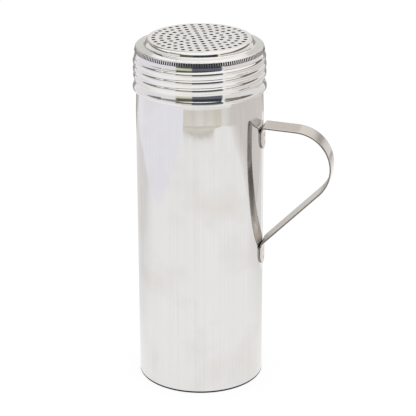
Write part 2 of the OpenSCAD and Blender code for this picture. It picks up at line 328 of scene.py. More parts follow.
def steel(name, colour, roughness, grain, grain_bump, wear, wear_bump=0.0, streak=0.02, stain=0.2):
    """Polished or brushed steel: fine lines along the grain, and faint smears and brown stains.

    grain is how often the lines change along X, Y and Z, in changes for each metre, and
    grain_bump is how deep they are. wear is how much the smears dull the shine, and wear_bump is
    how wavy they leave the sheet. streak is how much the lines darken the colour, and stain how
    brown the stains are. Shade is painted in as well: a piece's mark darkens its colour towards a
    near-black and roughens it, in its grooves, notches, edges, hollows and insides."""
    material = bpy.data.materials.new(name)
    material.use_nodes = True
    tree = material.node_tree
    shader = tree.nodes["Principled BSDF"]
    shader.inputs["Metallic"].default_value = 1.0
    place = put(tree, "ShaderNodeTexCoord").outputs["Object"]
    along = put(tree, "ShaderNodeMapping", {"Vector": place, "Scale": grain}).outputs[0]
    wide = put(tree, "ShaderNodeMapping", {"Vector": along, "Scale": BAND_SCALE}).outputs[0]
    lines = noise(tree, along, 1, 4, Roughness=0.6)
    bands = noise(tree, wide, 1, 2)
    smears = noise(tree, place, SMEARS_PER_M, 3, Distortion=0.4)
    stains = noise(tree, place, STAINS_PER_M, 4)
    # The piece's mark for painted shade, from 0 to 1.
    grime = put(tree, "ShaderNodeAttribute", attribute_name="grime").outputs["Fac"]

    dull = levelled(tree, weighed(tree, lines, smears, 0.5), *DULL_RANGE,
                    roughness - wear / 2, roughness + wear)
    tree.links.new(maths(tree, "MULTIPLY_ADD", grime, PAINTED_SHADE_ROUGHNESS, dull), shader.inputs["Roughness"])

    drawn = levelled(tree, weighed(tree, lines, bands, FINE_SHARE), *LINE_RANGE, -0.5, 0.5)
    clear = levelled(tree, smears, *CLEAR_RANGE, CLEAR_LEAST, 1)
    drawn = maths(tree, "MULTIPLY_ADD", drawn, clear, 0.5)
    light = (*(c * (1 + streak) for c in colour), 1)
    dark = (*(c * (1 - streak) for c in colour), 1)
    brown = (*(c * s for c, s in zip(colour, STAIN)), 1)
    sheet = mixed(tree, drawn, light, dark)
    sheet = mixed(tree, levelled(tree, stains, *STAIN_RANGE, 0, stain), sheet, brown)
    # Painted shade: the mark mixes the colour towards the near-black.
    sheet = mixed(tree, grime, sheet, (*PAINTED_SHADE_COLOUR, 1))
    tree.links.new(sheet, shader.inputs["Base Color"])

    fine = put(tree, "ShaderNodeBump", {
        "Height": lines, "Strength": grain_bump, "Distance": LINE_DEPTH}).outputs[0]
    waves = put(tree, "ShaderNodeBump", {
        "Height": smears, "Strength": wear_bump, "Distance": WAVE_DEPTH, "Normal": fine}).outputs[0]
    tree.links.new(waves, shader.inputs["Normal"])
    return material


tube_steel = steel("drawn_steel", (0.785, 0.782, 0.78), roughness=0.055, grain=(700, 700, 4),
                   grain_bump=0.3, wear=0.035, streak=0.04, stain=0.55)
ended(thread_tree, threaded, tube_steel)

neck_top_z = RIM_Z - TUBE_SHEET
neck_low_z = TAPER_TOP_Z + NECK_STEP
foot_z = TUBE_FOOT_Z + TUBE_FOOT_BEND
tube_wall = (
    upright(NECK_R, neck_top_z, neck_low_z, NECK_ROW_H)
    + eased((NECK_R, neck_low_z), (NECK_CREST_R, TAPER_TOP_Z), 14)[1:]
    + [(NECK_CREST_R + TAPER_LEAD_OUT, TAPER_TOP_Z - TAPER_LEAD_H),
       (TUBE_R - TAPER_EASE_IN[0], TAPER_Z + TAPER_EASE_H),
       (TUBE_R - TAPER_EASE_IN[1], TAPER_Z + TAPER_EASE_H / 4),
       (TUBE_R, TAPER_Z - TAPER_EASE_H)]
    + upright(TUBE_R, TAPER_Z - 2 * TAPER_EASE_H, foot_z + FOOT_ROWS_UP[0], TUBE_ROW_H)
    + [(TUBE_R, foot_z + FOOT_ROWS_UP[1])])
tube_outside = (
    arc(NECK_R - TUBE_SHEET / 2, neck_top_z + TUBE_SHEET / 2, TUBE_SHEET / 2, 180, 0, 6)
    + tube_wall
    + arc(TUBE_R - TUBE_FOOT_BEND, foot_z, TUBE_FOOT_BEND, 0, TUBE_FOOT_TURN, 6))
tube_inside = [(r - TUBE_SHEET, z) for r, z in reversed(tube_wall)]
tube_rows = [(r, z, TUBE_COLUMNS) for r, z in tube_outside + tube_inside]
tube = turned("tube", tube_rows)
# Painted shade: the dark band at the foot for the shadow where it stands, and a lighter darkening over the
# inside.
mark_rows(tube, "grime", tube_rows, [
    1.0 if z <= TUBE_FOOT_Z + FOOT_SHADOW_H else INSIDE_SHADE * (i > len(tube_outside))
    for i, (r, z, columns) in enumerate(tube_rows)])
worked(tube, thread_tree, {
    "Start Turn": (THREAD_START - NECK_LATE) / 360, "Ridge Top": NECK_RIDGE_TOP * MM,
    "Pitch": THREAD_PITCH * MM, "Turns": NECK_TURNS, "Ridge": NECK_RIDGE * MM})
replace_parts(tube, "body_tube")
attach(tube, "shaker")

# ---- Base pan ----
# A shallow pan, pressed from sheet and pushed flange up into the tube, where it is welded
# and polished flush. It stands on a flat ring, and its middle is raised.
PAN_SHEET = 0.6
PAN_R = TUBE_R - TUBE_SHEET
PAN_BEND = 1.2
PAN_FLANGE_Z = 6
PAN_FOOT_W = 4
PAN_FOOT_EASE = (0.8, 0.03)  # where the ring starts to lift: how far out, and how far up
PAN_RISE = 1.6
PAN_SLOPE_W = 3
PAN_SLOPE_START = 0.15  # the share of the slope at which its rows start
PAN_MIDDLE_R = (0.6, 0.01)  # the last rows round the middle
PAN_COLUMNS = 144

pan_steel = steel("pressed_steel", (0.74, 0.73, 0.72), roughness=0.22, grain=(60, 60, 60),
                  grain_bump=0.2, wear=0.1, wear_bump=0.2)
pan_foot_r = PAN_R - PAN_BEND - PAN_FOOT_W
pan_under = (
    arc(PAN_R - PAN_BEND, PAN_BEND, PAN_BEND, 0, -90, 8)
    + [(pan_foot_r + PAN_FOOT_EASE[0], 0), (pan_foot_r, PAN_FOOT_EASE[1])]
    + [(pan_foot_r - PAN_SLOPE_W * t, PAN_RISE * t * t * (3 - 2 * t))
       for t in np.linspace(PAN_SLOPE_START, 1, 8)]
    + [(r, PAN_RISE) for r in (pan_foot_r - PAN_SLOPE_W - 1, *PAN_MIDDLE_R)])
# The inside is the underside, raised by the sheet's thickness. That leaves the flange, which is
# hidden in the tube, thinner towards its foot.
pan_over = [(r, z + PAN_SHEET) for r, z in reversed(pan_under)]
pan_rim = arc(PAN_R - PAN_SHEET / 2, PAN_FLANGE_Z - PAN_SHEET / 2, PAN_SHEET / 2, 180, 0, 6)
pan = turned("pan", [(r, z, PAN_COLUMNS) for r, z in pan_rim + pan_under + pan_over])
smooth(pan)
pan.data.materials.append(pan_steel)
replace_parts(pan, "base_pan")
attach(pan, "shaker")

# ---- Handle ----
# One strip of stainless sheet, blanked with round ends and bent over formers. Its two tabs
# are pressed to the tube's curve, and each is dished twice by the spot welder.
STRIP_W = 13.5
STRIP_T = 1
STRIP_EDGE = 0.28  # radius of its rounded corners
HANDLE_TOP = 147.6
ARM_FALL = 3.9
BOW_REACH = 17.19
BOW_R = 21
LOWER_SLOPE = 45
UPPER_TAB_H = 13.6
LOWER_TAB_H = 11.8
UPPER_BEND = 1.8
LOWER_BEND = 3
FLATTEN_H = 1.8  # the stretch in which a tab goes from flat to the tube's curve
END_ROWS = 14
TAB_ROW_H = 0.3
ARM_ROW_H = 2
STRIP_COLUMNS = 37
STRIP_MERGE = 0.0005  # points nearer than this are one
WELD_D = 3.6
WELD_PITCH = 4.4
WELD_MARGIN = 0.4
WELD_DIMPLE = 0.15
DISH_START = 0.72  # the share of a weld's radius at which its dish starts to rise
DISH_RISE = 0.4  # and the share in which it rises
# Painted shade on the strip: the sheared edges are darkened for the contact shadow and the dark room they
# mirror. The arms' inner face, which faces the tube, is darkened for the dark reflection there, less on
# the lower arm.
EDGE_SHADE = 0.75
EDGE_SHADE_W = 0.05
INNER_FACE_SHADE = 0.44
LOWER_FACE_SHADE = 0.14
LOWER_HEADINGS = (-2.4, -1.7)  # the strip's headings, in radians, at which these two hold


def swept(centre, r, start, end, step):
    """Points of the strip's side view round a bend, a step apart, as (x, z, heading)."""
    side = 1 if end > start else -1
    steps = max(3, round(abs(math.radians(end - start)) * r / step))
    return [(centre[0] + r * math.cos(a), centre[1] + r * math.sin(a), a + side * math.pi / 2)
            for a in np.radians(np.linspace(start, end, steps))]


half = STRIP_T / 2
end_r = STRIP_W / 2
arm = math.radians(ARM_FALL)
slope = math.radians(LOWER_SLOPE)
tab_x = TUBE_R + half
bend_1 = (TUBE_R + UPPER_BEND, HANDLE_TOP - UPPER_BEND)
bow_x = TUBE_R + BOW_REACH
bow = (bow_x, bend_1[1] - ((bow_x - bend_1[0]) * math.sin(arm) + BOW_R - UPPER_BEND) / math.cos(arm))
bend_2_x = TUBE_R + LOWER_BEND
bend_2 = (bend_2_x, bow[1] + ((bend_2_x - bow_x) * math.sin(slope) - BOW_R + STRIP_T - LOWER_BEND)
          / math.cos(slope))
upper_tab_low = HANDLE_TOP - UPPER_TAB_H
lower_tab_low = bend_2[1] - LOWER_TAB_H
side_view = np.array(
    [(tab_x, upper_tab_low, math.pi / 2)]
    + swept(bend_1, UPPER_BEND - half, 180, 90 - ARM_FALL, step=0.25)
    + swept(bow, BOW_R - half, 90 - ARM_FALL, LOWER_SLOPE - 90, step=0.8)
    + swept(bend_2, LOWER_BEND - half, 90 + LOWER_SLOPE, 180, step=0.3)
    + [(tab_x, lower_tab_low, 1.5 * math.pi)])
side_view[:, 2] -= 2 * math.pi * (side_view[:, 2] > math.pi)
run = np.concatenate([[0], np.cumsum(np.hypot(*np.diff(side_view[:, :2], axis=0).T))])
strip_length = run[-1]
weld_top = FLATTEN_H + WELD_MARGIN + WELD_D / 2
upper_weld_z = [bend_1[1] - weld_top - down for down in (0, WELD_PITCH)]
lower_weld_z = [bend_2[1] - weld_top - down for down in (0, WELD_PITCH)]
weld_at = ([z - upper_tab_low for z in upper_weld_z]
           + [strip_length - (z - lower_tab_low) for z in lower_weld_z])


def dent(distance):
    """How deep the electrode's dish is at a distance from its middle."""
    share = min(max((distance / (WELD_D / 2) - DISH_START) / DISH_RISE, 0), 1)
    return WELD_DIMPLE * (1 - share * share * (3 - 2 * share))


def on_strip(s, y, t):
    """Where a point of the flat blank goes: s along it, y across it, t above its middle."""
    x, z, heading = (np.interp(s, run, side_view[:, k]) for k in range(3))
    upper = s < strip_length / 2
    if (t > 0) == upper:
        for at in weld_at:
            t -= math.copysign(dent(math.hypot(s - at, y)), t)
    x += t * math.sin(heading)
    z -= t * math.cos(heading)
    if x < TUBE_R + UPPER_BEND:
        share = min(max(((bend_1 if upper else bend_2)[1] - z) / FLATTEN_H, 0), 1)
        x -= share * share * (3 - 2 * share) * (x - math.sqrt(x * x - y * y))
    return x * MM, y * MM, z * MM


# How much shade is painted on the inner face at each point of the side view.
inner_face_shade = np.interp(side_view[:, 2], LOWER_HEADINGS, (LOWER_FACE_SHADE, INNER_FACE_SHADE))


def shade_on_strip(s, t):
    """How much shade is painted on a point of the blank, and how much duller it is there: on its sheared
    edges and on the arms' inner face.
    """
    if abs(t) < half - STRIP_EDGE + EDGE_SHADE_W:
        return EDGE_SHADE
    if t < half or not UPPER_TAB_H < s < strip_length - LOWER_TAB_H:
        return 0
    return np.interp(s, run, inner_face_shade)


def blank_row(centre, way, swing):
    """A cross-section of the flat blank. In a round end, swing runs from 0 at its tip to 90."""
    turn = math.radians(swing)

    def spot(depth, side, t):
        r = end_r - depth
        return centre - way * r * math.cos(turn), side * r * math.sin(turn), t
    corner = [(STRIP_EDGE * (1 - math.sin(a)), half - STRIP_EDGE * (1 - math.cos(a)))
              for a in np.radians(np.linspace(0, 90, 5))]
    side = corner + [(depth, -t) for depth, t in reversed(corner)]
    flat = np.linspace(-1, 1, STRIP_COLUMNS)[1:-1]
    s, reach, _ = spot(STRIP_EDGE, 1, 0)
    return ([spot(depth, 1, t) for depth, t in side]
            + [(s, -reach * y, -half) for y in flat]
            + [spot(depth, -1, t) for depth, t in reversed(side)]
            + [(s, reach * y, half) for y in flat])


rows = [blank_row(end_r, 1, swing) for swing in np.linspace(0, 90, END_ROWS)]
for low, high in zip(run, run[1:]):
    steps = max(1, round((high - low) / (TAB_ROW_H if low == 0 or high == strip_length else ARM_ROW_H)))
    rows += [blank_row(s, 1, 90) for s in np.linspace(low, high, steps + 1)[1:]
             if end_r < s < strip_length - end_r]
rows += [blank_row(strip_length - end_r, -1, swing) for swing in np.linspace(90, 0, END_ROWS)]
loop = len(rows[0])
strip_mesh = bpy.data.meshes.new("strip_handle")
strip_mesh.from_pydata([on_strip(*point) for row in rows for point in row], [], [
    (i * loop + j, i * loop + (j + 1) % loop, (i + 1) * loop + (j + 1) % loop, (i + 1) * loop + j)
    for i in range(len(rows) - 1) for j in range(loop)])
# Painted shade on the sheared edges and the arms' inner face.
mark(strip_mesh, "grime", [shade_on_strip(s, t) for row in rows for s, y, t in row])
strip = added("strip_handle", strip_mesh)
shell = bmesh.new()
shell.from_mesh(strip_mesh)
bmesh.ops.remove_doubles(shell, verts=shell.verts, dist=STRIP_MERGE * MM)
bmesh.ops.recalc_face_normals(shell, faces=shell.faces)
shell.to_mesh(strip_mesh)
shell.free()
smooth(strip)
strip_steel = steel("strip_steel", (0.73, 0.68, 0.64), roughness=0.15, grain=(70, 900, 70),
                    grain_bump=0.25, wear=0.08, wear_bump=0.08)
strip_mesh.materials.append(strip_steel)
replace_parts(strip, "handle")
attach(strip, "shaker")

# ---- Spot welds ----
# Two to a tab, pressed and fused by round electrodes. Each leaves a smooth disc in the dish
# on the tab and another inside the tube, both tinted by the heat. Each disc is an open cap.
WELD_RISE = 0.03
WELD_SINK = 0.02
# The shares of a disc's radius at which its rows lie, and of its rise that they have.
WELD_ROWS = ((0.15, 1), (0.5, 1), (0.8, 1), (0.92, 0.6), (1, -WELD_SINK / WELD_RISE))
WELD_COLUMNS = 36

weld_steel = steel("heat_tinted_steel", (0.62, 0.58, 0.53), roughness=0.3, grain=(500, 500, 500),
                   grain_bump=0.3, wear=0.15, wear_bump=0.2)


def weld_discs(name, heights):
    """The discs that show of a tab's two welds, outside and inside the tube."""
    discs = bmesh.new()
    turns = 2 * math.pi * np.arange(WELD_COLUMNS) / WELD_COLUMNS
    for z in heights:
        for wall_r, way in ((TUBE_R + STRIP_T - WELD_DIMPLE, 1), (TUBE_R - TUBE_SHEET, -1)):
            rings = []
            for share, rise in WELD_ROWS:
                r = WELD_D / 2 * share
                around = [(r * math.cos(a), r * math.sin(a)) for a in turns]
                rings.append([discs.verts.new((
                    (math.sqrt(wall_r * wall_r - y * y) + way * WELD_RISE * rise) * MM,
                    y * MM, (z + up) * MM)) for y, up in around])
            discs.faces.new(rings[0] if way > 0 else rings[0][::-1])
            for inner, outer in zip(rings, rings[1:]):
                for i in range(WELD_COLUMNS):
                    j = (i + 1) % WELD_COLUMNS
                    quad = (inner[i], outer[i], outer[j], inner[j])
                    discs.faces.new(quad if way > 0 else quad[::-1])
    mesh = bpy.data.meshes.new(name)
    discs.to_mesh(mesh)
    discs.free()
    mesh.materials.append(weld_steel)
    piece = added(name, mesh)
    smooth(piece)
    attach(piece, "shaker")
    return piece


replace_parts(weld_discs("upper_weld_discs", upper_weld_z), "upper_spot_welds")
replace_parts(weld_discs("lower_weld_discs", lower_weld_z), "lower_spot_welds")

# ---- Lid ----
# One piece of sheet: drawn to a cup with a stepped disc, pierced, knurled round the
# shoulder, thread rolled, flared, curled inwards at its lower edge, and polished.
LID_SHEET = 0.45
DISC_Z = 194.095
STEP_R = 29.12
STEP_Z = 192.1
STEP_ROLL = 4.5
STEP_TURN = 35
STEP_LEAN = 15
FOOT_BEND = 1
RING_SLOPE = 10
RING_R = 33.9
RING_Z = 190.251
SHOULDER_BEND = 0.6
KNURL_LEAN = 15
KNURL_H = 1.8
KNURL_COUNT = 168
KNURL_DEPTH = 0.4
KNURL_COLUMNS = 12
KNURL_SHARES = (0.06, 0.14, 0.3, 0.5, 0.7, 0.86, 0.94)  # rows down the band
KNURL_SHADE = (0.36, 0.56)  # where the painted shade starts and is full, from 0 on a tooth to 1 in a notch
NOTCH_START = 0.4  # where the notch starts
HOLLOW_R = 34.3
HOLLOW_DROP = 0.27
HOLLOW_EASES = ((0.1, 0.16), (0.08, 0.12))  # in and down from the band, out and up from the hollow
HOLLOW_LEANS = (21, 10, 24)  # the wall's lean at its top, its middle and its foot, in degrees
HOLLOW_ROLL = 4.6
HOLLOW_H = 0.85
HOLLOW_BEND = 2
BAND_ROLL = 2.95
BAND_LOW_Z = 174.5
SKIRT_R = 34.73
LID_RIDGE = 0.66
LID_RIDGE_TOP = 184.93
LID_TURNS = 3.1
FLARE_R = 8.25
TURN_R = 3.4
FLARE_OUT = 1.255
LIP_H = 0.33
CURL_R = 0.65
CURL_Z = 167.351
CURL_END = -210  # direction at which the curl ends, from 0 at its outer side
LID_COLUMNS = 224
LINING_COLUMNS = 112
SKIRT_ROW_H = 0.15
LINING_ROW_H = 0.36
LID_MERGE = 0.004  # points nearer than this are one
HOLE_D = 2.2
HOLE_PITCH = 4.11
HOLE_RINGS = 6
HOLE_TURN = 50.7  # direction of a spoke of holes, in degrees round from the handle
HOLE_COLUMNS = 20
HOLE_EDGE = 0.06
HOLE_LOWER_EDGE = (0.02, 0.05)
HOLE_RIM_W = 0.2
PLATE_R = 27  # the disc is flat out to here, and made of two pierced faces

ring_slope = math.radians(RING_SLOPE)
step_lean = math.radians(STEP_LEAN)
step_turn = math.radians(STEP_TURN)
roll_at = (STEP_R - STEP_ROLL * math.cos(step_lean), STEP_Z - STEP_ROLL * math.sin(step_lean))
turn_at = (roll_at[0] + STEP_ROLL * math.cos(step_turn),
           roll_at[1] + STEP_ROLL * math.sin(step_turn))
corner_r = (DISC_Z - turn_at[1]) / (1 - math.sin(step_turn))
corner_at = (turn_at[0] - corner_r * math.cos(step_turn), DISC_Z - corner_r)
foot_in = (STEP_R + FOOT_BEND * math.cos(step_lean), STEP_Z + FOOT_BEND * math.sin(step_lean))
foot_over = (foot_in[1] - RING_Z - FOOT_BEND / math.cos(ring_slope)
             - (RING_R - foot_in[0]) * math.tan(ring_slope))
wall_h = foot_over / (1 - math.tan(step_lean) * math.tan(ring_slope))
foot_at = (foot_in[0] + wall_h * math.tan(step_lean), foot_in[1] - wall_h)
shoulder_at = (RING_R - SHOULDER_BEND * math.sin(ring_slope),
               RING_Z - SHOULDER_BEND * math.cos(ring_slope))
lean = math.radians(KNURL_LEAN)
knurl_top = (shoulder_at[0] + SHOULDER_BEND * math.cos(lean),
             shoulder_at[1] + SHOULDER_BEND * math.sin(lean))
knurl_low = (knurl_top[0] + KNURL_H * math.tan(lean), knurl_top[1] - KNURL_H)
hollow = (HOLLOW_R, knurl_low[1] - HOLLOW_DROP)
flare_angle = math.degrees(math.acos(1 - FLARE_OUT / (FLARE_R + TURN_R)))
turn_down_at = (SKIRT_R + FLARE_OUT - TURN_R, CURL_Z + LIP_H)
flare_z = turn_down_at[1] + (FLARE_R + TURN_R) * math.sin(math.radians(flare_angle))
curl_at = (SKIRT_R + FLARE_OUT - CURL_R, CURL_Z)


def lid_face(inset, fineness):
    """The lid's section above the knurled band, at a depth of inset into the sheet."""
    return ([(PLATE_R, DISC_Z - inset)]
            + arc(*corner_at, corner_r - inset, 90, STEP_TURN, fineness)
            + arc(*roll_at, STEP_ROLL - inset, STEP_TURN, STEP_LEAN, fineness)[1:]
            + arc(*foot_at, FOOT_BEND + inset, 180 + STEP_LEAN, 270 - RING_SLOPE, fineness // 2)
            + arc(*shoulder_at, SHOULDER_BEND - inset, 90 - RING_SLOPE, KNURL_LEAN, fineness))


def skirt_face(inset, row_h, fineness):
    """The section below the knurled band, from the hollow under it down to the curl."""
    first, least, last = (math.radians(a) for a in HOLLOW_LEANS)

    def beyond(start, r, lean):
        return start[0] + r * math.cos(lean), start[1] + r * math.sin(lean)
    roll_centre = beyond(hollow, -HOLLOW_ROLL, first)
    under = beyond(roll_centre, HOLLOW_ROLL, least)
    low = (under[0] + HOLLOW_H * math.tan(least), under[1] - HOLLOW_H)
    bend_centre = beyond(low, HOLLOW_BEND, least)
    band_centre = beyond(beyond(bend_centre, -HOLLOW_BEND, last), -BAND_ROLL, last)
    band_r = band_centre[0] + BAND_ROLL - inset
    return (arc(*roll_centre, HOLLOW_ROLL - inset, HOLLOW_LEANS[0], HOLLOW_LEANS[1], fineness)
            + arc(*bend_centre, HOLLOW_BEND + inset, 180 + HOLLOW_LEANS[1], 180 + HOLLOW_LEANS[2],
                  fineness)
            + arc(*band_centre, BAND_ROLL - inset, HOLLOW_LEANS[2], 0, fineness)[1:]
            + upright(band_r, band_centre[1] - row_h, BAND_LOW_Z, row_h)
            + eased((band_r, BAND_LOW_Z), (SKIRT_R - inset, flare_z), fineness)[1:-1]
            + arc(SKIRT_R + FLARE_R, flare_z, FLARE_R + inset, 180, 180 + flare_angle, fineness)
            + arc(*turn_down_at, TURN_R - inset, flare_angle, 0, fineness)[1:])


knurl_rows = [(knurl_top[0] + (knurl_low[0] - knurl_top[0]) * t, knurl_top[1] - KNURL_H * t)
              for t in KNURL_SHARES]
(ease_in, ease_down), (ease_out, ease_up) = HOLLOW_EASES
knurl_foot = [knurl_low, (knurl_low[0] - ease_in, knurl_low[1] - ease_down),
              (hollow[0] + ease_out, hollow[1] + ease_up)]
curl_out = arc(*curl_at, CURL_R, 0, CURL_END, 22)
curl_in = arc(*curl_at, CURL_R - LID_SHEET, CURL_END, 0, 10)
knurled_columns = KNURL_COUNT * KNURL_COLUMNS
lined = skirt_face(LID_SHEET, LINING_ROW_H, 5)[::-1] + lid_face(LID_SHEET, 6)[::-1]
lid_rows = (
    [(r, z, LID_COLUMNS) for r, z in lid_face(0, 16)]
    + [(r, z, knurled_columns) for r, z in knurl_rows]
    + [(r, z, LID_COLUMNS) for r, z in knurl_foot + skirt_face(0, SKIRT_ROW_H, 12) + curl_out]
    + [(r, z, LINING_COLUMNS) for r, z in curl_in + lined])
lid = turned("lid_shell", lid_rows, closed=False)
mark_rows(lid, "knurled", lid_rows, [float(columns == knurled_columns) for r, z, columns in lid_rows])
# Painted shade in the hollow under the knurled band, and a lighter share of it over the whole lining.
mark_rows(lid, "creased", lid_rows, [
    INSIDE_SHADE if columns == LINING_COLUMNS else float(hollow[1] <= z <= knurl_low[1])
    for r, z, columns in lid_rows])

# The wall of a hole, from its sharp lower edge up to the rounded upper one. It is made round the
# origin, with a thin rim at both ends that is merged with the disc's two faces.
hole_r = HOLE_D / 2
rim_r = hole_r + HOLE_RIM_W
hole_rows = [(r, z, HOLE_COLUMNS) for r, z in (
    [(rim_r, -LID_SHEET), (hole_r + HOLE_LOWER_EDGE[0], -LID_SHEET),
     (hole_r, -LID_SHEET + HOLE_LOWER_EDGE[1])]
    + [(hole_r + HOLE_EDGE - x, y - HOLE_EDGE) for x, y in arc(0, 0, HOLE_EDGE, 0, 90, 4)]
    + [(rim_r, 0)])]
hole_edge = turned("hole_edge", hole_rows, closed=False)
# Painted shade on the hole's wall, below its rounded upper edge.
mark_rows(hole_edge, "grime", hole_rows, [float(z <= -HOLE_EDGE) for r, z, columns in hole_rows])

LID_INPUTS = ["Hole Turn", "Hole Pitch", "Hole Radius", "Plate Radius", "Plate Height", "Sheet",
              "Knurl Count", "Knurl Depth"]
lid_tree = new_tree("pressed_lid", THREAD_INPUTS + LID_INPUTS)
given = put(lid_tree, "NodeGroupInput").outputs

# The holes lie in rings of six, twelve, eighteen and so on, round one in the middle.
spots = put(lid_tree, "GeometryNodeJoinGeometry")
middle = put(lid_tree, "GeometryNodeMeshLine", {"Count": 1})
lid_tree.links.new(middle.outputs[0], spots.inputs[0])
for ring in range(1, HOLE_RINGS + 1):
    circle = put(lid_tree, "GeometryNodeMeshCircle", {
        "Vertices": 6 * ring, "Radius": maths(lid_tree, "MULTIPLY", given["Hole Pitch"], ring)})
    lid_tree.links.new(circle.outputs[0], spots.inputs[0])
turn_z = put(lid_tree, "ShaderNodeCombineXYZ", {"Z": given["Hole Turn"]}).outputs[0]
spread = put(lid_tree, "GeometryNodeTransform",
             {"Geometry": spots.outputs[0], "Rotation": turn_z}).outputs[0]


def plate(tree, curves, height):
    """A flat sheet between these closed curves, at a height."""
    sheet = put(tree, "GeometryNodeFillCurve", {"Curve": curves}, mode="TRIANGLES").outputs[0]
    lift = put(tree, "ShaderNodeCombineXYZ", {"Z": height}).outputs[0]
    return put(tree, "GeometryNodeTransform", {"Geometry": sheet, "Translation": lift}).outputs[0]


def pierced(tree, spread, sockets, columns, height, hole_curve):
    """The flat middle of one face of the disc, with the holes left open."""
    outlines = put(tree, "GeometryNodeJoinGeometry")
    outer = put(tree, "GeometryNodeCurvePrimitiveCircle",
                {"Resolution": columns, "Radius": sockets["Plate Radius"]}).outputs[0]
    holes = put(tree, "GeometryNodeInstanceOnPoints",
                {"Points": spread, "Instance": hole_curve}).outputs[0]
    holes = put(tree, "GeometryNodeRealizeInstances", {"Geometry": holes}).outputs[0]
    tree.links.new(outer, outlines.inputs[0])
    tree.links.new(holes, outlines.inputs[0])
    return plate(tree, outlines.outputs[0], height)


hole_curve = put(lid_tree, "GeometryNodeCurvePrimitiveCircle",
                 {"Resolution": HOLE_COLUMNS, "Radius": given["Hole Radius"]}).outputs[0]
top_face = pierced(lid_tree, spread, given, LID_COLUMNS, given["Plate Height"], hole_curve)
under_z = maths(lid_tree, "SUBTRACT", given["Plate Height"], given["Sheet"])
under_face = put(lid_tree, "GeometryNodeFlipFaces", {
    "Mesh": pierced(lid_tree, spread, given, LINING_COLUMNS, under_z, hole_curve)}).outputs[0]
edge_shape = put(lid_tree, "GeometryNodeObjectInfo", {"Object": hole_edge}).outputs["Geometry"]
edges = put(lid_tree, "GeometryNodeInstanceOnPoints",
            {"Points": spread, "Instance": edge_shape}).outputs[0]
disc_up = put(lid_tree, "ShaderNodeCombineXYZ", {"Z": given["Plate Height"]}).outputs[0]
edges = put(lid_tree, "GeometryNodeTransform", {"Geometry": edges, "Translation": disc_up}).outputs[0]

# Each knurling groove is a rounded notch, pushed in between two teeth.
x, y, _, r, turn = placed(lid_tree)
across = maths(lid_tree, "FRACT", maths(lid_tree, "MULTIPLY", turn, given["Knurl Count"]))
side = maths(lid_tree, "ABSOLUTE", maths(lid_tree, "MULTIPLY_ADD", across, 2, -1))
notch = ramp(lid_tree, side, NOTCH_START, 1)
# Shade is painted into the notches, the hollow under the band and the lining, as a mark for the material.
band, hollow_shade = (
    put(lid_tree, "GeometryNodeInputNamedAttribute", {"Name": name}, data_type="FLOAT").outputs[0]
    for name in ("knurled", "creased"))
notch_shade = maths(lid_tree, "MULTIPLY", ramp(lid_tree, side, *KNURL_SHADE), band)
grime = maths(lid_tree, "MAXIMUM", hollow_shade, notch_shade)
depth = maths(lid_tree, "MULTIPLY", maths(lid_tree, "MULTIPLY", notch, band), given["Knurl Depth"])
shell = outwards(lid_tree, given["Geometry"], x, y, r, maths(lid_tree, "MULTIPLY", depth, -1))
shell = put(lid_tree, "GeometryNodeStoreNamedAttribute", {
    "Geometry": shell, "Name": "grime", "Value": grime}, data_type="FLOAT", domain="POINT").outputs[0]
shell = rolled_thread(lid_tree, shell, given)

whole = put(lid_tree, "GeometryNodeJoinGeometry")
for part in (shell, top_face, under_face, edges):
    lid_tree.links.new(part, whole.inputs[0])
whole = put(lid_tree, "GeometryNodeRealizeInstances", {"Geometry": whole.outputs[0]}).outputs[0]
whole = put(lid_tree, "GeometryNodeMergeByDistance",
            {"Geometry": whole, "Distance": LID_MERGE * MM}).outputs[0]
lid_steel = steel("pressed_polished_steel", (0.85, 0.84, 0.83), roughness=0.07, grain=(40, 40, 1600),
                  grain_bump=0.12, wear=0.04)
ended(lid_tree, whole, lid_steel)
worked(lid, lid_tree, {
    "Start Turn": THREAD_START / 360, "Ridge Top": LID_RIDGE_TOP * MM, "Pitch": THREAD_PITCH * MM,
    "Turns": LID_TURNS, "Ridge": LID_RIDGE * MM,
    "Hole Turn": math.radians(HOLE_TURN), "Hole Pitch": HOLE_PITCH * MM,
    "Hole Radius": rim_r * MM, "Plate Radius": PLATE_R * MM, "Plate Height": DISC_Z * MM,
    "Sheet": LID_SHEET * MM, "Knurl Count": KNURL_COUNT, "Knurl Depth": KNURL_DEPTH * MM})
bpy.data.objects.remove(hole_edge)
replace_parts(lid, "lid")
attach(lid, "screw_lid")

# ---- Floor, backdrop and light ----
# A white table in a pale room. Cards and a dark opening stand round it, out of the camera's
# sight, and give the steel something to mirror.
FLOOR_REACH = 3.0
FLOOR_Z = -0.0001
TABLE_WHITE = (1.03, 1.03, 1.045)
TABLE_TINT = (1, 0.993, 0.985)  # as the steel mirrors it
TABLE_MATT = (0.95, 0.95, 0.95)
TABLE_GLOW = 0.85  # the share of plain white. The rest is matt and takes the shadow
# How light the mirrored table is, at these distances in metres: from the shaker, and behind it.
TABLE_FADE = ((0.1, 1.0), (0.5, 0.95))
TABLE_LEVELS = ((0, 1.0), (0.12, 0.8), (0.41, 0.78), (0.5, 0.38), (0.63, 0.38), (0.72, 0.95))
CARD_LIFT = 0.0004
NEAR_SAND = 1.13  # how much further out the sand card's lighter strip ends than it starts
BORDER = (0.975, 0.985)  # and how much nearer its dark border starts, along X and Y
BORDER_SHIFT = 5
CARD_STEP = 4  # degrees from one fold of a wall card to the next
ROOM_FRONT = -78.9  # direction of the room's front, in degrees round from the handle
OPENING_REACH = 0.88
WALL_REACH = 1.3
CORNER_REACH = 0.45
# How light the room is at these heights over the horizon, in degrees.
ROOM_LEVELS = (
    (-90, 0.95), (-3, 0.95), (2, 0.85), (24, 0.88), (30, 0.95), (34, 1.08), (55, 1.08), (90, 1.12))
ROOM_TINT = (1, 0.99, 0.97)


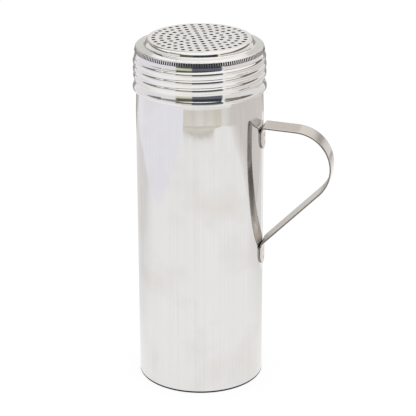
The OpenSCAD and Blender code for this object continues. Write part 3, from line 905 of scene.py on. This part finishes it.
def staged(name, points, faces, material):
    """A piece of the studio, not of the shaker. Points are in metres."""
    mesh = bpy.data.meshes.new(name)
    mesh.from_pydata(points, [], faces)
    mesh.materials.append(material)
    card = added(name, mesh)
    return card


def card_paint(name, colour):
    """An even colour that needs no light."""
    paint = bpy.data.materials.new(name)
    paint.use_nodes = True
    tree = paint.node_tree
    tree.nodes.clear()
    glow = put(tree, "ShaderNodeEmission", {"Color": (*colour, 1), "Strength": 1.0}).outputs[0]
    put(tree, "ShaderNodeOutputMaterial", {"Surface": glow})
    return paint


def mirrored_only(card):
    """Leaves a card to the reflections: it throws no light or shadow, and is not seen directly."""
    for sight in ("visible_camera", "visible_diffuse", "visible_transmission",
                  "visible_volume_scatter", "visible_shadow"):
        setattr(card, sight, False)


def table_card(name, outline, colour, level=1):
    """A card on the table, or on the cards below its level. Its outline is in millimetres."""
    points = [(x * MM, y * MM, CARD_LIFT * level) for x, y in outline]
    mirrored_only(staged(name, points, [tuple(range(len(points)))], card_paint(name, colour)))


def turned_by(outline, degrees):
    """The same points, turned round the shaker."""
    cos, sin = math.cos(math.radians(degrees)), math.sin(math.radians(degrees))
    return [(x * cos - y * sin, x * sin + y * cos) for x, y in outline]


def fade_card(name, edge, turns, colours):
    """A strip of the table between two turned copies of an edge. It fades from one to the other."""
    points = [(x * MM, y * MM, CARD_LIFT) for turn in turns for x, y in turned_by(edge, turn)]
    faces = [(i, i + 1, len(edge) + i + 1, len(edge) + i) for i in range(len(edge) - 1)]
    paint = card_paint(name, colours[0])
    card = staged(name, points, faces, paint)
    fade = card.data.attributes.new("fade", "FLOAT_COLOR", "POINT")
    fade.data.foreach_set("color", [c for colour in colours for _ in edge for c in (*colour, 1)])
    tree = paint.node_tree
    glow = next(node for node in tree.nodes if node.type == "EMISSION")
    colour = put(tree, "ShaderNodeAttribute", attribute_name="fade").outputs["Color"]
    tree.links.new(colour, glow.inputs["Color"])
    mirrored_only(card)


def wall_card(name, reach, azimuths, elevations, colour):
    """A card bent round the shaker. Azimuths count from the room's front, elevations from the lid."""
    steps = round((azimuths[1] - azimuths[0]) / CARD_STEP) + 2
    turns = np.radians(ROOM_FRONT + np.linspace(*azimuths, steps))
    heights = [RIM_Z * MM + reach * math.tan(math.radians(e)) for e in elevations]
    points = [(reach * math.cos(a), reach * math.sin(a), z) for a in turns for z in heights]
    faces = [(2 * i, 2 * i + 1, 2 * i + 3, 2 * i + 2) for i in range(len(turns) - 1)]
    mirrored_only(staged(name, points, faces, card_paint(name, colour)))


def graded(tree, value, stops, tint=(1, 1, 1)):
    """A tint whose level runs through these stops of (value, level)."""
    grades = put(tree, "ShaderNodeValToRGB", {0: value})
    elements = grades.color_ramp.elements
    while len(elements) < len(stops):
        elements.new(0.5)
    for element, (position, level) in zip(elements, stops):
        element.position = position
        element.color = (*(level * part for part in tint), 1)
    return grades.outputs[0]


floor_paint = bpy.data.materials.new("white_table")
floor_paint.use_nodes = True
floor_tree = floor_paint.node_tree
floor_tree.nodes.clear()
rays = put(floor_tree, "ShaderNodeLightPath").outputs
mirrored = maths(floor_tree, "MAXIMUM", rays["Is Glossy Ray"], rays["Is Transmission Ray"])
table_place = put(floor_tree, "ShaderNodeTexCoord").outputs["Object"]
table_x, table_y, _ = put(floor_tree, "ShaderNodeSeparateXYZ", {0: table_place}).outputs
(near, near_level), (far, far_level) = TABLE_FADE
near_dim = levelled(floor_tree, off_axis(floor_tree, table_x, table_y), near, far, near_level, far_level)
back = math.radians(ROOM_FRONT + 180)
behind = maths(floor_tree, "MULTIPLY_ADD", table_x, math.cos(back),
               maths(floor_tree, "MULTIPLY", table_y, math.sin(back)))
dim = maths(floor_tree, "MULTIPLY", near_dim, graded(floor_tree, behind, TABLE_LEVELS))
level = maths(floor_tree, "MULTIPLY_ADD", maths(floor_tree, "SUBTRACT", dim, 1), mirrored, 1)
tint = mixed(floor_tree, mirrored, (*TABLE_WHITE, 1), (*TABLE_TINT, 1))
glow = put(floor_tree, "ShaderNodeEmission", {"Color": tint, "Strength": level}).outputs[0]
matt = put(floor_tree, "ShaderNodeBsdfDiffuse", {"Color": (*TABLE_MATT, 1)}).outputs[0]
seen = maths(floor_tree, "MAXIMUM", mirrored, rays["Is Camera Ray"])
share = maths(floor_tree, "MULTIPLY", seen, TABLE_GLOW)
table = put(floor_tree, "ShaderNodeMixShader", {0: share, 1: matt, 2: glow}).outputs[0]
put(floor_tree, "ShaderNodeOutputMaterial", {"Surface": table})
staged("floor", [(x * FLOOR_REACH, y * FLOOR_REACH, FLOOR_Z)
                 for x, y in ((-1, -1), (1, -1), (1, 1), (-1, 1))], [(0, 1, 2, 3)], floor_paint)

table_card("lilac_card", [
    (-155, -455), (-190, -390), (-245, -275), (-283, -110), (-345, 25), (-375, 140), (-345, 275),
    (-370, 310), (-900, 600), (-1200, -300), (-400, -1200), (-230, -780)], (0.93, 0.92, 0.965))

tan_edge = [(560, -395), (480, -375), (470, -240), (439, -120), (407, -21), (375, 26), (345, 53),
            (300, 90)]
tan_back = [(210, 190), (190, 420), (500, 900), (1100, 300), (1100, -500)]
fade_card("tan_fade", tan_edge, (-5, 12), ((0.93, 0.92, 0.91), (0.72, 0.68, 0.65)))
table_card("tan_card", turned_by(tan_edge, 12) + tan_back, (0.72, 0.68, 0.65))

table_card("sand_card", [
    (-145, -455), (-50, -470), (55, -465), (160, -442), (263, -398), (345, -392), (480, -375),
    (560, -395), (430, -532), (240, -640), (0, -685), (-205, -655)], (0.70, 0.66, 0.575))
sand_edge = [(-145, -455), (-50, -470), (55, -465), (160, -442), (263, -398), (300, -395)]
near_edge = [(x * NEAR_SAND, y * NEAR_SAND) for x, y in sand_edge]
table_card("near_sand", sand_edge + near_edge[::-1], (0.78, 0.745, 0.68), level=2)
side_edge = [(-205, -655)] + sand_edge
border = [(x * BORDER[0] - BORDER_SHIFT, y * BORDER[1]) for x, y in side_edge]
table_card("sand_border", side_edge + border[::-1], (0.42, 0.38, 0.31), level=3)

table_card("bright_patch", [(62, 140), (92, 140), (150, 460), (96, 460)], (1.05, 1.04, 1.02))
table_card("dark_edge", [(-290, 360), (-420, 560), (-330, 600), (-200, 360)], (0.40, 0.36, 0.33))

wall_card("navy_opening", OPENING_REACH, (-13, 38.5), (-11, 10), (0.13, 0.14, 0.18))
wall_card("navy_opening_top", OPENING_REACH, (-13, 38.5), (10, 29), (0.04, 0.046, 0.062))
wall_card("olive_opening", OPENING_REACH, (-41, -13), (9, 28), (0.11, 0.12, 0.09))
wall_card("olive_sill", OPENING_REACH, (-41, -13), (3, 9), (0.42, 0.42, 0.34))
wall_card("cream_foot", OPENING_REACH, (-41, -13), (-11, 3), (0.74, 0.70, 0.60))
wall_card("left_wall", WALL_REACH, (-140, -41), (-9, 14), (0.84, 0.83, 0.87))
wall_card("left_frieze", WALL_REACH, (-140, -70), (13, 26), (0.22, 0.23, 0.19))
wall_card("left_front_frieze", WALL_REACH, (-70, -41), (19, 33), (0.30, 0.30, 0.25))
wall_card("right_wall", WALL_REACH, (44, 140), (-9, 13), (0.82, 0.81, 0.82))
wall_card("right_frieze", WALL_REACH, (75, 140), (13, 28), (0.19, 0.155, 0.125))
wall_card("right_front_frieze", WALL_REACH, (44, 75), (14, 27), (0.26, 0.22, 0.18))
wall_card("left_corner", WALL_REACH, (-168, -140), (3, 30), (0.50, 0.49, 0.45))
wall_card("right_corner", WALL_REACH, (140, 168), (3, 11.5), (0.48, 0.47, 0.45))
wall_card("left_far_corner", WALL_REACH, (-176.5, -168), (3, 30), (0.70, 0.69, 0.66))
wall_card("right_far_corner", WALL_REACH, (168, 176.5), (3, 30), (0.70, 0.69, 0.66))
wall_card("left_low_corner", CORNER_REACH, (-163, -143), (-15, 3), (0.36, 0.36, 0.32))
wall_card("right_low_corner", CORNER_REACH, (143, 166), (-15, 3), (0.36, 0.34, 0.32))
wall_card("low_beam", WALL_REACH, (-160, -118), (31, 48), (0.10, 0.09, 0.08))
wall_card("dark_beam", WALL_REACH, (-185, -125), (48, 66), (0.10, 0.09, 0.08))

world = bpy.data.worlds.new("pale_room")
bpy.context.scene.world = world
world.use_nodes = True
world_tree = world.node_tree
background = world_tree.nodes["Background"]
background.inputs["Strength"].default_value = 1.0
way = put(world_tree, "ShaderNodeTexCoord").outputs["Generated"]
way_up = put(world_tree, "ShaderNodeSeparateXYZ", {0: way}).outputs[2]
height = maths(world_tree, "MULTIPLY_ADD", way_up, 0.5, 0.5)
heights = [(0.5 + 0.5 * math.sin(math.radians(degrees)), level) for degrees, level in ROOM_LEVELS]
world_tree.links.new(graded(world_tree, height, heights, ROOM_TINT), background.inputs["Color"])

bpy.context.scene.view_settings.view_transform = "Standard"
